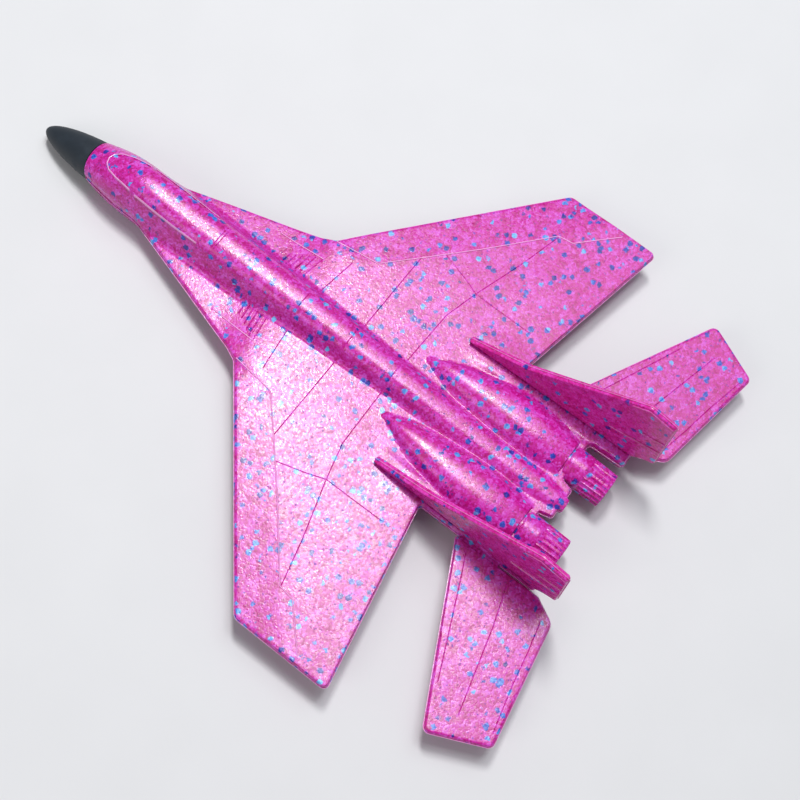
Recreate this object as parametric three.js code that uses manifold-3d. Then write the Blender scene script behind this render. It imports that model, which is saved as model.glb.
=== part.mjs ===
// A hand-launched toy jet glider moulded in bead foam: one airframe moulding with two plug-in
// fins, two plug-in stabilizers and a soft rubber nose cone that carries a steel weight.
//
// Millimetres. X points to the glider's left wing tip, Y points aft and Z points up. The origin
// is on the floor under the middle of the glider's length, and the glider rests on its belly.

import * as THREE from 'three';
import { mergeVertices } from 'three/addons/utils/BufferGeometryUtils.js';
import Module from 'manifold-3d';

const wasm = await Module();
wasm.setup();

// ---------------------------------------------------------------- driving dimensions

const halfLength = 220;
const halfSpan = 171;
const wingZ = 20; // middle of the wing's thickness, above the floor
const wingThickness = 6.5;
const foamEdge = 1.2; // rounding of the moulded plates' edges
const fitGap = 0.3; // clearance round every plugged-in piece
const slotOvercut = 3; // how far a slot's cutting block reaches out of the foam
const rootOverlap = 1; // how far a tab or tongue reaches into the piece it belongs to

// Front of the fuselage, where the nose cone pushes on. The nose droops from there.
const noseJoint = new THREE.Vector3(0, -177, wingZ - 3.8);
const noseDroop = THREE.MathUtils.degToRad(11);
const noseLength = 43.7;
const noseRadius = 12.9;
const nosePower = 1.4;
const spigotRadius = 7.5;
const spigotLength = 15;
const spigotRoot = 5; // how far the spigot reaches back into the fuselage
const spigotChamfer = 1;
const weightRadius = 4;
const weightLength = 12;
const weightChamfer = 0.5;

// Wing, strake and tail plate, as one outline: corners [x, y, corner radius] of the left half.
const planform = [
  [14, -160, 6],
  [17, -134, 25],
  [46.3, -41.5, 14],
  [50.5, -33, 3],
  [170, 62.8, 5.5],
  [halfSpan, 128.2, 3.5],
  [53, 106.4, 2],
  [53, 188, 2.5],
  [41.5, 188, 2.5],
  [40.5, 164, 3],
  [13, 164, 1],
  [11, 173, 2.5],
];

// Fuselage sections: [y, half width, top above the wing plane, bottom below it]. They are widest a
// little below the wing plane.
const widestDrop = 3;
const sectionSquareness = 2.1; // 2 gives ellipses and more gives squarer sections
const fuselageSections = [
  [-170, 14.9, 12.3, 17.0],
  [-160, 16.4, 15.6, 17.4],
  [-148, 17.1, 18.6, 17.5],
  [-134, 17.4, 20.6, 17.5],
  [-116, 17.5, 21.4, 17.4],
  [-96, 17.5, 20.8, 17.2],
  [-76, 17.3, 19.6, 16.8],
  [-50, 16.8, 18.2, 16.0],
  [-20, 15.6, 16.8, 14.6],
  [10, 13.9, 15.2, 12.6],
  [40, 12.0, 13.4, 10.2],
  [70, 10.2, 11.2, 8.0],
  [100, 9.0, 9.0, 6.2],
  [130, 8.2, 6.8, 5.2],
  [155, 7.8, 5.2, 4.8],
  [171, 7.4, 4.2, 4.2],
];

// Engine humps on the tail: [y, half width, top above the wing plane].
const engineX = 25.2;
const humpSections = [
  [62, 1.5, 3.6],
  [72, 4.6, 6.2],
  [86, 7.8, 9.2],
  [102, 10.2, 11.6],
  [120, 11.6, 12.8],
  [138, 12.1, 12.2],
  [152, 12.0, 10.4],
  [161, 11.7, 8.6],
];

// Exhaust nozzles, on the engines' axes.
const nozzleStart = 159;
const nozzleEnd = 188.8;
const nozzleDrop = 3.6; // axis below the wing plane
const nozzleRadius = 11.4;
const nozzleCollarRadius = 12; // where the nozzle leaves the engine
const nozzleCollarLength = 3;
const petalStart = 172; // the petals run from here to the nozzle's end
const petalRadius = 11.6;
const nozzleRim = 1; // rounding of the open end
const nozzleBoreRadius = 8.6;
const nozzleBoreDepth = 8;
const nozzleBoreTaper = 2;

// Flat-bottomed intake trunks under the wing: [y, bottom above the floor].
const trunkHalfWidth = 12;
const trunkChamfer = 3;
const trunkSections = [
  [-62, 5.5],
  [-50, 0],
  [128, 0],
  [160, 5.2],
];
const intakeWidth = 15;
const intakeHeight = 8;
const intakeDepth = 9;
const intakeLip = 1.5; // foam left below the intake's opening

// Tail booms beside the engines, which hold the fins and the stabilizers: [y, top, bottom].
const boomInnerX = 41.5;
const boomOuterX = 53;
const boomChamfer = 1.5;
const boomSections = [
  [76, 3.6, -3.2],
  [94, 4.6, -6.2],
  [180, 4.6, -6.2],
  [188, 3.2, -4.6],
];

// Fins. A fin stands on its boom, leans out and is toed in at the front.
const finThickness = 4.4;
const finRootY = 66;
const finRootX = 47.6;
const finCant = THREE.MathUtils.degToRad(3.6);
const finToe = THREE.MathUtils.degToRad(1.3);
const finFootZ = 4.9; // foot of the fin above the wing plane
const finTabDepth = 8.2;
const finTabThickness = 3.2;
// Corners [distance aft of the root's front end, height above the wing plane, corner radius].
const finOutline = [
  [-4, finFootZ, 1.5],
  [42.5, 21.3, 30],
  [112.5, 67, 5],
  [131.5, 63.4, 3],
  [135, 13.4, 1.6],
  [127, 9.6, 5],
  [122.4, finFootZ, 1.5],
];
const finTabs = [
  [31, 61],
  [103, 118],
];

// Stabilizers: corners [x, y, corner radius] of the left one. Rounding its rear corner takes
// tailRounding off the glider's length.
const tailRounding = 0.5;
const stabThickness = 5.2;
const stabDrop = 1; // below the wing plane
const stabRootX = boomOuterX + fitGap;
const stabOutline = [
  [stabRootX, 132.6, 1.5],
  [156, 183.4, 4.5],
  [139.6, halfLength + tailRounding, 4.5],
  [61.5, 207.4, 7],
  [stabRootX, 192, 3],
];
const stabTongue = [136, 163];
const stabTongueDepth = 9.5;
const stabTongueThickness = 4.4;

const sectionSides = 24;
const roundSides = 24;

// ---------------------------------------------------------------- materials

const pinkFoam = new THREE.MeshStandardMaterial({ color: 0xe23aa6, roughness: 0.45, metalness: 0 });
const blackRubber = new THREE.MeshStandardMaterial({ color: 0x1c1f24, roughness: 0.75, metalness: 0 });
const plainSteel = new THREE.MeshStandardMaterial({ color: 0x9aa0a6, roughness: 0.4, metalness: 0.9 });

// ---------------------------------------------------------------- geometry helpers

// A closed outline with arcs in its corners, from corners [x, y, radius].
function roundedOutline(corners) {
  const shape = new THREE.Shape();
  corners.forEach(([x, y, radius], i) => {
    const corner = new THREE.Vector2(x, y);
    const previous = corners[(i + corners.length - 1) % corners.length];
    const next = corners[(i + 1) % corners.length];
    const toPrevious = new THREE.Vector2(previous[0], previous[1]).sub(corner).normalize();
    const toNext = new THREE.Vector2(next[0], next[1]).sub(corner).normalize();
    const halfAngle = Math.acos(toPrevious.dot(toNext)) / 2;
    const bisector = toPrevious.clone().add(toNext).normalize();
    const centre = corner.clone().addScaledVector(bisector, radius / Math.sin(halfAngle));
    const setback = radius / Math.tan(halfAngle);
    const start = corner.clone().addScaledVector(toPrevious, setback).sub(centre);
    const end = corner.clone().addScaledVector(toNext, setback).sub(centre);
    const clockwise = toPrevious.cross(toNext) > 0;
    shape.absarc(centre.x, centre.y, radius, start.angle(), end.angle(), clockwise);
  });
  shape.closePath();
  return shape;
}

// A moulded plate of the given outline, centred on z = 0, with softened edges.
function mouldedPlate(corners, thickness, edge) {
  const geometry = new THREE.ExtrudeGeometry(roundedOutline(corners), {
    depth: thickness - 2 * edge,
    curveSegments: 2,
    bevelSize: edge,
    bevelThickness: edge,
    bevelOffset: -edge,
    bevelSegments: 1,
  });
  return geometry.translate(0, 0, edge - thickness / 2);
}

// A closed skin over rings of equal point counts, with a fan over each end.
function loft(rings) {
  const sides = rings[0].length;
  const positions = rings.flat().flatMap((point) => point.toArray());
  const index = [];
  for (let ring = 0; ring < rings.length - 1; ring += 1) {
    for (let i = 0; i < sides; i += 1) {
      const a = ring * sides + i;
      const b = ring * sides + ((i + 1) % sides);
      index.push(a, b, a + sides, b, b + sides, a + sides);
    }
  }
  [0, rings.length - 1].forEach((ring, end) => {
    const centre = rings[ring].reduce((sum, point) => sum.add(point), new THREE.Vector3());
    const hub = positions.length / 3;
    positions.push(...centre.divideScalar(sides).toArray());
    for (let i = 0; i < sides; i += 1) {
      const a = ring * sides + i;
      const b = ring * sides + ((i + 1) % sides);
      if (end === 0) index.push(b, a, hub);
      else index.push(a, b, hub);
    }
  });
  const geometry = new THREE.BufferGeometry();
  geometry.setAttribute('position', new THREE.Float32BufferAttribute(positions, 3));
  geometry.setIndex(index);
  return geometry;
}

// A rounded ring in the plane y, with separate heights above and below its widest line.
function section(y, centreX, halfWidth, z, up, down) {
  const ring = [];
  const power = 2 / sectionSquareness;
  for (let i = 0; i < sectionSides; i += 1) {
    const angle = (2 * Math.PI * i) / sectionSides;
    const across = Math.sign(Math.cos(angle)) * Math.abs(Math.cos(angle)) ** power;
    const rise = Math.sign(Math.sin(angle)) * Math.abs(Math.sin(angle)) ** power;
    ring.push(new THREE.Vector3(centreX + halfWidth * across, y, z + rise * (rise > 0 ? up : down)));
  }
  return ring.reverse();
}

// An eight-sided ring in the plane y: a rectangle with its corners cut off.
function chamferedRing(y, xLow, xHigh, zLow, zHigh, chamfer) {
  const corners = [
    [xLow + chamfer, zLow],
    [xLow, zLow + chamfer],
    [xLow, zHigh - chamfer],
    [xLow + chamfer, zHigh],
    [xHigh - chamfer, zHigh],
    [xHigh, zHigh - chamfer],
    [xHigh, zLow + chamfer],
    [xHigh - chamfer, zLow],
  ];
  return corners.map(([x, z]) => new THREE.Vector3(x, y, z));
}

// A solid of revolution about Y, from a profile of [radius, y] points.
function turned(profile) {
  const points = profile.map(([radius, y]) => new THREE.Vector2(radius, y));
  return new THREE.LatheGeometry(points, roundSides);
}

function box(xLow, xHigh, yLow, yHigh, zLow, zHigh) {
  const geometry = new THREE.BoxGeometry(xHigh - xLow, yHigh - yLow, zHigh - zLow);
  return geometry.translate((xLow + xHigh) / 2, (yLow + yHigh) / 2, (zLow + zHigh) / 2);
}

function toSolid(geometry) {
  const bare = geometry.clone();
  bare.deleteAttribute('normal');
  bare.deleteAttribute('uv');
  const merged = mergeVertices(bare, 1e-4);
  const vertProperties = new Float32Array(merged.attributes.position.array);
  const triVerts = new Uint32Array(merged.index.array);
  return new wasm.Manifold(new wasm.Mesh({ numProp: 3, vertProperties, triVerts }));
}

function toGeometry(solid) {
  const mesh = solid.getMesh();
  const geometry = new THREE.BufferGeometry();
  geometry.setAttribute('position', new THREE.BufferAttribute(new Float32Array(mesh.vertProperties), 3));
  geometry.setIndex(new THREE.BufferAttribute(new Uint32Array(mesh.triVerts), 1));
  geometry.computeVertexNormals();
  return geometry;
}

function join(geometries) {
  return geometries.map(toSolid).reduce((whole, solid) => whole.add(solid));
}

function cut(solid, geometries) {
  return geometries.map(toSolid).reduce((whole, tool) => whole.subtract(tool), solid);
}

function addMesh(parent, name, geometry, material) {
  const mesh = new THREE.Mesh(geometry, material);
  mesh.name = name;
  parent.add(mesh);
}

// ---------------------------------------------------------------- airframe

function planformPlate() {
  const right = planform.map(([x, y, radius]) => [-x, y, radius]).reverse();
  return mouldedPlate([...planform, ...right], wingThickness, foamEdge).translate(0, 0, wingZ);
}

// The front ring is square to the drooped nose, and the rest stand upright.
function fuselage() {
  const front = [];
  for (let i = 0; i < sectionSides; i += 1) {
    const angle = (2 * Math.PI * i) / sectionSides;
    const point = new THREE.Vector3(noseRadius * Math.cos(angle), 0, noseRadius * Math.sin(angle));
    front.push(point.applyAxisAngle(new THREE.Vector3(1, 0, 0), noseDroop).add(noseJoint));
  }
  const rings = fuselageSections.map(([y, halfWidth, top, bottom]) => {
    return section(y, 0, halfWidth, wingZ - widestDrop, top + widestDrop, bottom - widestDrop);
  });
  return loft([front.reverse(), ...rings]);
}

function engineHump(side) {
  const rings = humpSections.map(([y, halfWidth, top]) => {
    return section(y, side * engineX, halfWidth, wingZ, top, wingThickness / 2);
  });
  return loft(rings);
}

function onEngineAxis(geometry, side) {
  return geometry.translate(side * engineX, 0, wingZ - nozzleDrop);
}

function nozzle(side) {
  const shell = turned([
    [0, nozzleStart],
    [nozzleCollarRadius, nozzleStart],
    [nozzleCollarRadius, nozzleStart + nozzleCollarLength],
    [petalRadius, petalStart],
    [nozzleRadius, nozzleEnd - nozzleRim],
    [nozzleRadius - nozzleRim, nozzleEnd],
    [0, nozzleEnd],
  ]);
  return onEngineAxis(shell, side);
}

function nozzleBore(side) {
  const bore = turned([
    [0, nozzleEnd - nozzleBoreDepth],
    [nozzleBoreRadius - nozzleBoreTaper, nozzleEnd - nozzleBoreDepth],
    [nozzleBoreRadius, nozzleEnd + nozzleRim],
    [0, nozzleEnd + nozzleRim],
  ]);
  return onEngineAxis(bore, side);
}

function intakeTrunk(side) {
  const centre = side * engineX;
  const rings = trunkSections.map(([y, bottom]) => {
    return chamferedRing(y, centre - trunkHalfWidth, centre + trunkHalfWidth, bottom, wingZ, trunkChamfer);
  });
  return loft(rings);
}

function intakePocket(side) {
  const centre = side * engineX;
  const front = trunkSections[0][0];
  const low = trunkSections[0][1] + intakeLip;
  const halfWidth = intakeWidth / 2;
  return box(
    centre - halfWidth,
    centre + halfWidth,
    front - slotOvercut,
    front + intakeDepth,
    low,
    low + intakeHeight,
  );
}

function boom(side) {
  const rings = boomSections.map(([y, top, bottom]) => {
    const xs = [side * boomInnerX, side * boomOuterX];
    return chamferedRing(y, Math.min(...xs), Math.max(...xs), wingZ + bottom, wingZ + top, boomChamfer);
  });
  return loft(rings);
}

// The spigot starts inside the fuselage, so that it is one piece with it.
function noseSpigot() {
  const spigot = turned([
    [0, -spigotLength],
    [spigotRadius - spigotChamfer, -spigotLength],
    [spigotRadius, -spigotLength + spigotChamfer],
    [spigotRadius, spigotRoot],
    [0, spigotRoot],
  ]);
  return spigot.rotateX(noseDroop).translate(...noseJoint.toArray());
}

function finPlacement(side) {
  const group = new THREE.Group();
  group.position.set(side * finRootX, finRootY, wingZ);
  group.rotation.set(0, side * finCant, -side * finToe, 'ZYX');
  group.updateMatrixWorld();
  return group;
}

// Tabs under a fin, or the slots for them when they are grown by the clearance.
function finTabBlocks(grow) {
  const half = finTabThickness / 2 + grow;
  const top = finFootZ + (grow > 0 ? slotOvercut : rootOverlap);
  return finTabs.map(([start, end]) => {
    return box(-half, half, start - grow, end + grow, finFootZ - finTabDepth - grow, top);
  });
}

function stabTongueBlock(side, grow) {
  const inner = side * (boomOuterX - stabTongueDepth - grow);
  const outer = side * (stabRootX + (grow > 0 ? slotOvercut : rootOverlap));
  const middle = wingZ - stabDrop;
  const half = stabTongueThickness / 2 + grow;
  return box(
    Math.min(inner, outer),
    Math.max(inner, outer),
    stabTongue[0] - grow,
    stabTongue[1] + grow,
    middle - half,
    middle + half,
  );
}

function airframe() {
  const sides = [1, -1];
  const body = join([
    planformPlate(),
    fuselage(),
    noseSpigot(),
    ...sides.map(intakeTrunk),
    ...sides.map(engineHump),
    ...sides.map(nozzle),
    ...sides.map(boom),
  ]);
  const finSlots = sides.flatMap((side) => {
    const placement = finPlacement(side).matrixWorld;
    return finTabBlocks(fitGap).map((slot) => slot.applyMatrix4(placement));
  });
  const stabSlots = sides.map((side) => stabTongueBlock(side, fitGap));
  return cut(body, [
    ...sides.map(intakePocket),
    ...sides.map(nozzleBore),
    ...finSlots,
    ...stabSlots,
  ]);
}

// ---------------------------------------------------------------- plugged-in pieces

// Drawn in its side view and then stood up, so that its thickness lies along X.
function fin() {
  const sideView = mouldedPlate(finOutline, finThickness, foamEdge);
  const standUp = new THREE.Matrix4().makeBasis(
    new THREE.Vector3(0, 1, 0),
    new THREE.Vector3(0, 0, 1),
    new THREE.Vector3(1, 0, 0),
  );
  return join([sideView.applyMatrix4(standUp), ...finTabBlocks(0)]);
}

function stabilizer(side) {
  const corners = stabOutline.map(([x, y, radius]) => [side * x, y, radius]);
  const blade = mouldedPlate(corners, stabThickness, foamEdge).translate(0, 0, wingZ - stabDrop);
  return join([blade, stabTongueBlock(side, 0)]);
}

// The nose cone's outside is an ogive. Its socket steps down to the pocket for the weight.
function noseCone() {
  const steps = 16;
  const base = -fitGap;
  const reach = noseLength - fitGap;
  const outside = [];
  for (let i = steps; i >= 0; i -= 1) {
    const along = Math.sin((i / steps) * (Math.PI / 2));
    const radius = i === steps ? 0 : noseRadius * Math.sqrt(1 - along ** nosePower);
    outside.push([radius, base - reach * along]);
  }
  const socketEnd = -spigotLength - fitGap;
  const pocketEnd = socketEnd - weightLength - 2 * fitGap;
  const socketRadius = spigotRadius + fitGap;
  const pocketRadius = weightRadius + fitGap;
  return turned([
    ...outside,
    [socketRadius, base],
    [socketRadius, socketEnd],
    [pocketRadius, socketEnd],
    [pocketRadius, pocketEnd],
    [0, pocketEnd],
  ]);
}

function noseWeight() {
  const front = -spigotLength - 2 * fitGap - weightLength;
  return turned([
    [0, front],
    [weightRadius - weightChamfer, front],
    [weightRadius, front + weightChamfer],
    [weightRadius, front + weightLength - weightChamfer],
    [weightRadius - weightChamfer, front + weightLength],
    [0, front + weightLength],
  ]);
}

// ---------------------------------------------------------------- the glider

const glider = new THREE.Group();
addMesh(glider, 'airframe', toGeometry(airframe()), pinkFoam);

const nose = new THREE.Group();
nose.position.copy(noseJoint);
nose.rotation.x = noseDroop;
addMesh(nose, 'nose_cone', noseCone(), blackRubber);
addMesh(nose, 'nose_weight', noseWeight(), plainSteel);
glider.add(nose);

for (const [side, word] of [[1, 'left'], [-1, 'right']]) {
  const placement = finPlacement(side);
  addMesh(placement, `fin_${word}`, toGeometry(fin()), pinkFoam);
  glider.add(placement);
  addMesh(glider, `stabilizer_${word}`, toGeometry(stabilizer(side)), pinkFoam);
}

export default glider;
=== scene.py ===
"""A foam toy jet glider: moulded pink bead foam, two fins, two stabilizers and a soft black nose.

Shapes are worked out in millimetres in the CAD frame (X to the left wing tip, Y aft, Z up) and
turned into metres when a mesh is made. Heights named "above the wing" count from the middle of
the wing's thickness.
"""
import math

import bpy
import numpy as np
from mathutils import Euler, Matrix, Vector
from mathutils.geometry import delaunay_2d_cdt


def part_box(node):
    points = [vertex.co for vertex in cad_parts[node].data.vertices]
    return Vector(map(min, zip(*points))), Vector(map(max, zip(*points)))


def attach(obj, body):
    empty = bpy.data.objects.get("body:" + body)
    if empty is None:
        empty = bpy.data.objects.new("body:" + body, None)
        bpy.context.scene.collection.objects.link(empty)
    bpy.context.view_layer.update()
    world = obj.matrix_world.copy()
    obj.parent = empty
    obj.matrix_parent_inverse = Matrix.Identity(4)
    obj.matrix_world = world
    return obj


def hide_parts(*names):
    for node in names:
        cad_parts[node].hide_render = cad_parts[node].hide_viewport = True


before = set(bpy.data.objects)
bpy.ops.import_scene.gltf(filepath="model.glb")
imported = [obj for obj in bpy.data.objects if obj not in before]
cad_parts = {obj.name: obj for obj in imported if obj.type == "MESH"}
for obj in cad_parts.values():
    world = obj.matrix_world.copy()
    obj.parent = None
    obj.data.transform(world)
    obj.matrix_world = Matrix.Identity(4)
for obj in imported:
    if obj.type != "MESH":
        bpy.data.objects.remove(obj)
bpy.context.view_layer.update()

# ------------------------------------------------------------------ driving sizes, mm

MM = 0.001
HALF_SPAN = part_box("airframe")[1].x / MM
TAIL_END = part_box("stabilizer_left")[1].y / MM
WING_Z = 20.0
WING_HALF = 3.25          # half the wing's thickness at its root
WING_THINNING = 0.7       # lost from that by the tip
EDGE_ROUND = 1.2          # rounding of the plates' edges
FLASH = 0.5               # width of the thin flash left all round by the mould's parting line
FLASH_HALF = 0.3          # half its thickness
FLAP_SLOPE = 0.042        # fall of the wing ahead of its leading-edge flap line
TAPER = 0.8               # thickness lost towards the trailing edge
STRAKE_SLOPE = 0.05       # sideways fall of the strakes
WAVINESS = 0.06           # slow unevenness of the moulded skin

NOSE_JOINT = np.array([0.0, -177.0, WING_Z - 3.8])
NOSE_DROOP = math.radians(11)
NOSE_FACE_TILT = math.radians(17)
NOSE_RADIUS = 12.9
NOSE_LENGTH = 43.4        # from the joint to the tip, along the drooping axis
NOSE_POWER = 1.4          # of its ogive: 2 would be an ellipse, 1 a parabola
SPIGOT_RADIUS = 7.5
SPIGOT_LENGTH = 15.0
SOCKET_GAP = 0.3          # play all round each plugged-in piece
WEIGHT_POCKET_RADIUS = 4.3
WEIGHT_POCKET_LENGTH = 12.6
CUT_REACH = 40.0          # half size of the blocks that trim the nose joint's two faces

ENGINE_X = 25.2
ENGINE_END = 158.6
NOZZLE_Z = WING_Z - 3.6
NOZZLE_END = 188.8
NOZZLE_RADIUS = 11.4
PETALS = 24
COLLAR = ENGINE_END + 1.1  # where the nozzle steps out of the hump
RIB_START = 173.0          # where the nozzle's smooth barrel ends and its petals start

TRUNK_HALF = 12.0
TRUNK_DEPTH = WING_Z
TRUNK_START = -62.5
POCKET_HALF = 8.0         # the shallow intake pockets in the trunks' front faces
POCKET_Y = (-66.0, -53.0)
POCKET_Z = (7.2, 15.4)

BOOM_IN, BOOM_OUT = 41.5, 53.0
BOOM_TOP, BOOM_BOTTOM = 4.6, 6.2

FIN_FOOT = 4.9
FIN_HALF = 2.2
FIN_EDGE_ROUND = 0.9
FIN_ROOT = (47.6, 66.0)
FIN_CANT = math.radians(3.6)
FIN_TOE = math.radians(1.3)
FIN_TABS = ((31.0, 61.0), (103.0, 118.0))
FIN_TAB_DEPTH = 8.2
FIN_TAB_HALF = FIN_HALF - 0.6
TAB_OVERLAP = 2.0         # how far a tab runs up into its fin

STAB_Z = WING_Z - 1.0
STAB_HALF = 2.6
STAB_TONGUE = (136.0, 163.0)
STAB_TONGUE_DEPTH = 9.5
STAB_TONGUE_HALF = 2.2
TONGUE_OVERLAP = 3.0      # how far a tongue runs out into its stabilizer
SLOT_OVERCUT = 3.0        # how far a slot's cutter stands out of the foam

# Relief lines: half width, and height above the skin or depth (below 0) under it.
GROOVE = (0.38, -0.31)
LOUVRE = (0.55, -0.6)
SEAM = (0.45, 0.45)
RIDGE = (0.65, 0.7)
SILL = (0.55, 1.0)

FINE_STEP = 1.05          # spacing of mesh points over the fuselage and engines
PLAIN_STEP = 3.0          # and over the flat wings
OUTLINE_STEP = 1.6
EDGE_RINGS = (0.05, 0.2, 0.5, 0.95, 1.7, 2.9)   # depths of the rows of points inside an outline
EDGE_BAND = 3.0           # no grid points nearer to the outline than this

# Outlines: corners [x, y, corner radius].
AIRFRAME_OUTLINE = [
    [11.5, -187, 2], [14.9, -170, 40], [17.1, -152, 40], [17.2, -135, 25],
    [46.3, -41.5, 14], [50.5, -33, 3], [170, 62.8, 5.5], [HALF_SPAN, 128.2, 3.5],
    [53, 106.4, 2], [53, 188, 2.5], [41.5, 188, 2.5], [40.5, 164, 3], [13, 164, 1], [11, 172, 2.5],
    [4.6, 172, 0.6], [4, 174.4, 1.2],
]
STAB_OUTLINE = [
    [53.3, 132.6, 1.5], [156, 183.4, 4.5], [139.6, TAIL_END + 0.5, 4.5], [61.5, 207.4, 7],
    [53.3, 192, 3],
]
# A fin's outline in its side view: [distance aft of the root's front, height above the wing].
FIN_OUTLINE = [
    [-4, FIN_FOOT, 1.5], [42.5, 21.3, 30], [112.5, 67, 5], [131.5, 63.4, 3],
    [135, 13.4, 1.6], [127, 9.6, 5], [122.4, FIN_FOOT, 1.5],
]

# Lines on the wing's upper side, drawn on the left half and mirrored: first the raised ones.
FLAP_ROOT, FLAP_TIP = [52.8, -3.6], [140.4, 72]
WING_SEAMS = [
    [[49, -32], FLAP_ROOT, [74, 15.5], [101, 39.3], FLAP_TIP, [142, 82], [165.3, 103.5]],
    [[32.6, -62], [34.2, -31.4]],
]
WING_GROOVES = [
    [[13.5, 14.6], [73, 14.6]],
    [[10.5, 47.6], [52, 48.8], [75, 54.6], [111, 65.4], [140.4, 72.6]],
    [[84.5, 25.5], [79, 44], [75, 54.6], [75, 94]],
    [[16.5, -19.5], [43, -16]],
    [[17.5, -34], [34.2, -31.4]],
]
LOUVRE_START, LOUVRE_PITCH, LOUVRES = -50.0, 3.1, 5
LOUVRE_LENGTH, LOUVRE_GROWTH = 6.5, 1.9
SPINE_LINES = [-84.0, -82.2, -21.2, 14.6, 47.4, 168.6]
STAB_LINES = [
    [[59.5, 144], [74, 150.6], [95, 159.8], [128, 174]],
    [[56.5, 172.3], [84, 181], [118.5, 189.6], [136, 194]],
    [[66, 201.2], [85, 205.4], [105, 209], [132, 215.2]],
]
FIN_RIBS = [
    [[101, 22.5], [132.6, 29.4]],
    [[117, 37.6], [131.4, 40.8]],
    [[104, 58.6], [113, 64.2], [129.6, 61]],
]
CANOPY_SILL = [
    [[0, -168.2], [3.6, -167], [6.6, -163.4], [8.7, -155.9], [10.3, -144.5]],
    [[10.9, -139.5], [11.3, -123], [11.3, -107], [11, -93.5]],
]

# Along the fuselage: [y, half width, top above the wing, bottom below the wing].
SPINE_STATIONS = np.array([
    [-190, 10.6, 4.4, 14.6], [-178, 12.9, 9.0, 16.7], [-170, 14.9, 12.6, 17.0],
    [-160, 16.4, 16.8, 17.4], [-151, 17.1, 19.8, 17.5], [-142, 17.3, 21.2, 17.5],
    [-133, 17.4, 21.1, 17.5], [-122, 17.5, 20.2, 17.4], [-110, 17.5, 19.1, 17.3],
    [-98, 17.4, 18.2, 17.2], [-84, 17.1, 17.6, 17.0], [-70, 16.8, 17.3, 16.6],
    [-50, 16.0, 16.9, 16.0], [-20, 14.6, 16.0, 14.6], [10, 13.0, 14.6, 12.6],
    [40, 11.6, 12.9, 10.2], [70, 10.4, 11.2, 8.0], [100, 9.4, 9.0, 6.2], [130, 8.4, 7.2, 5.2],
    [155, 7.2, 5.9, 4.6], [166, 5.6, 5.2, 4.0], [178, 4.6, 3.6, 3.6],
])
# The rounded back that runs along the fuselage's top: [y, half width, base above the wing].
BACK_STATIONS = np.array([
    [-190, 12.0, 1.0], [-150, 12.8, 3.0], [-120, 13.3, 3.0], [-100, 13.6, 2.0], [-66, 13.5, 1.0],
    [-30, 12.8, 0.5], [13, 11.4, 0.0], [47, 10.4, 0.0], [80, 9.8, 0.0], [110, 9.2, 0.0],
    [150, 7.8, 0.0], [166, 6.0, 0.0], [178, 4.6, 0.0],
])
# Along an engine hump: [y, middle, half width, top above the wing].
HUMP_STATIONS = np.array([
    [50, 22.4, 0.8, 0.0], [56, 22.4, 1.6, 3.6], [62, 22.6, 3.4, 6.0], [68, 23.1, 5.8, 7.8],
    [77, 23.7, 8.8, 9.4], [86, 24.0, 11.0, 10.4], [95, 24.4, 12.8, 11.2], [104, 25.1, 14.3, 11.8],
    [113, 25.2, 15.4, 12.2], [122, 25.2, 15.8, 12.4], [136, 25.2, 15.4, 11.9],
    [146, 25.2, 14.2, 10.8], [153, 25.2, 13.0, 9.7], [164, 25.2, 11.2, 8.2],
])
HUMP_START = (46, 58)     # the humps come up through the wing's skin between these
STATION_SMOOTHING = 4.0


# ------------------------------------------------------------------ plane geometry helpers

def smoothstep(value, low, high):
    t = np.clip((np.asarray(value, float) - low) / (high - low), 0, 1)
    return t * t * (3 - 2 * t)


def smooth_max(a, b, blend):
    """The higher of two surfaces, with a fillet about `blend` wide where they meet."""
    overlap = np.maximum(blend - np.abs(a - b), 0) / blend
    return np.maximum(a, b) + overlap * overlap * blend / 4


def station_table(stations):
    """A smoothed lookup of each column against the first one."""
    fine = np.arange(stations[0, 0], stations[-1, 0], 0.5)
    reach = np.arange(-30, 31) * 0.5
    weights = np.exp(-((reach / STATION_SMOOTHING) ** 2))
    weights /= weights.sum()
    columns = [fine]
    for column in stations.T[1:]:
        plain = np.interp(fine, stations[:, 0], column)
        padded = np.pad(plain, len(reach) // 2, mode="reflect", reflect_type="odd")
        columns.append(np.convolve(padded, weights, mode="valid"))
    return lambda y: [np.interp(y, fine, column) for column in columns[1:]]


def rounded_outline(corners, step):
    """A closed outline with arcs in its corners and points about `step` apart, anticlockwise."""
    corners = np.array(corners, float)
    points = []
    count = len(corners)
    for i in range(count):
        corner, radius = corners[i, :2], corners[i, 2]
        to_previous = corners[i - 1, :2] - corner
        to_next = corners[(i + 1) % count, :2] - corner
        to_previous /= np.linalg.norm(to_previous)
        to_next /= np.linalg.norm(to_next)
        half_angle = math.acos(float(np.clip(to_previous @ to_next, -1, 1))) / 2
        bisector = (to_previous + to_next) / np.linalg.norm(to_previous + to_next)
        centre = corner + bisector * radius / math.sin(half_angle)
        setback = radius / math.tan(half_angle)
        start = corner + to_previous * setback - centre
        end = corner + to_next * setback - centre
        turn = math.atan2(start[0] * end[1] - start[1] * end[0], start @ end)
        pieces = max(2, math.ceil(abs(turn) / 0.3))
        for k in range(pieces + 1):
            angle = math.atan2(start[1], start[0]) + turn * k / pieces
            points.append(centre + radius * np.array([math.cos(angle), math.sin(angle)]))
    closed = densify(np.array(points + points[:1]), step)[:-1]
    x, y = closed.T
    area = 0.5 * np.sum(x * np.roll(y, -1) - np.roll(x, -1) * y)
    return closed if area > 0 else closed[::-1]


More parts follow.
